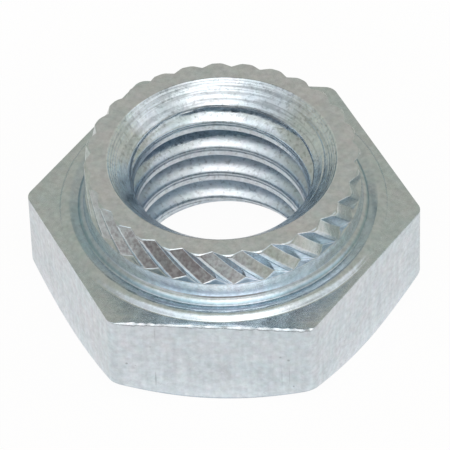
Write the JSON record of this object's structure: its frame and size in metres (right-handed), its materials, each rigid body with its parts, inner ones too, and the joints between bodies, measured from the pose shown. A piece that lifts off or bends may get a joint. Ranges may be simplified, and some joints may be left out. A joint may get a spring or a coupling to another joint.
{
  "type": "knurled-collar hex nut",
  "caption": "Plated steel hex nut with a grooved seat ring, a helically serrated press-in collar and a countersunk M6 thread right through.",
  "frame": {"origin": "on the thread axis, in the plane of the flat bottom face that the nut rests on", "axes": "+Z along the thread axis, from the hex body towards the serrated collar; +X through a corner of the hex; +Y square to a flat"},
  "size_m": [0.0114, 0.01, 0.0049],
  "materials": {
    "plated_steel": "blue-bright zinc plating, satin"
  },
  "bodies": {
    "root": {"nut": "plated_steel"}
  },
  "joints": []
}
